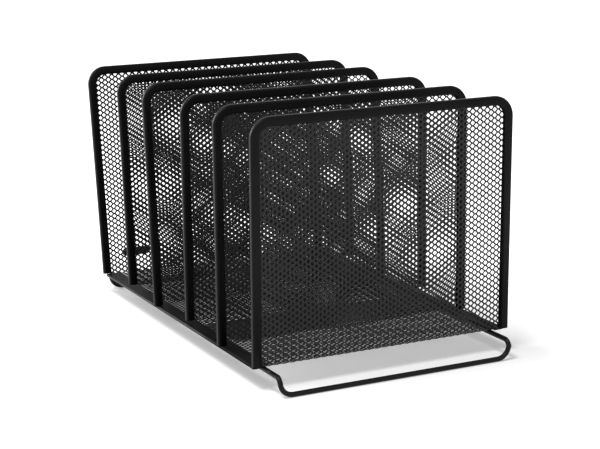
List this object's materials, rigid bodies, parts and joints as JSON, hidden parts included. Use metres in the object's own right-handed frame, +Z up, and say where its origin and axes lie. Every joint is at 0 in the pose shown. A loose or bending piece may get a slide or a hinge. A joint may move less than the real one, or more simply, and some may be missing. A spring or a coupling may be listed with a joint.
{
  "type": "desk sorter",
  "caption": "Upright desk sorter: expanded metal dividers in rounded bent-tube frames on a raised mesh floor, carried by a bent wire loop.",
  "frame": {"origin": "on the desk, under the middle of the overall width and length", "axes": "+Z up; +Y runs back from the first divider to the last, which leans back; +X to the right seen from the front"},
  "size_m": [0.212, 0.349, 0.1957],
  "materials": {
    "mesh_coat": "satin black powder coat on expanded steel",
    "hem_coat": "satin black powder coat on folded sheet steel",
    "frame_coat": "satin black powder coat on slit steel tube",
    "wire_coat": "satin black powder coat on steel wire",
    "label_plastic": "plain black moulded plastic, blank"
  },
  "bodies": {
    "root": {"base_mesh": "mesh_coat", "insert_mesh_front": "mesh_coat", "insert_mesh_rear": "mesh_coat", "side_hem_left": "hem_coat", "side_hem_right": "hem_coat", "divider_frame_1": "frame_coat", "divider_frame_2": "frame_coat", "divider_frame_3": "frame_coat", "divider_frame_4": "frame_coat", "divider_frame_5": "frame_coat", "divider_frame_6": "frame_coat", "stacking_wire": "wire_coat", "label_plate": "label_plastic", "label_backing": "label_plastic"}
  },
  "joints": []
}
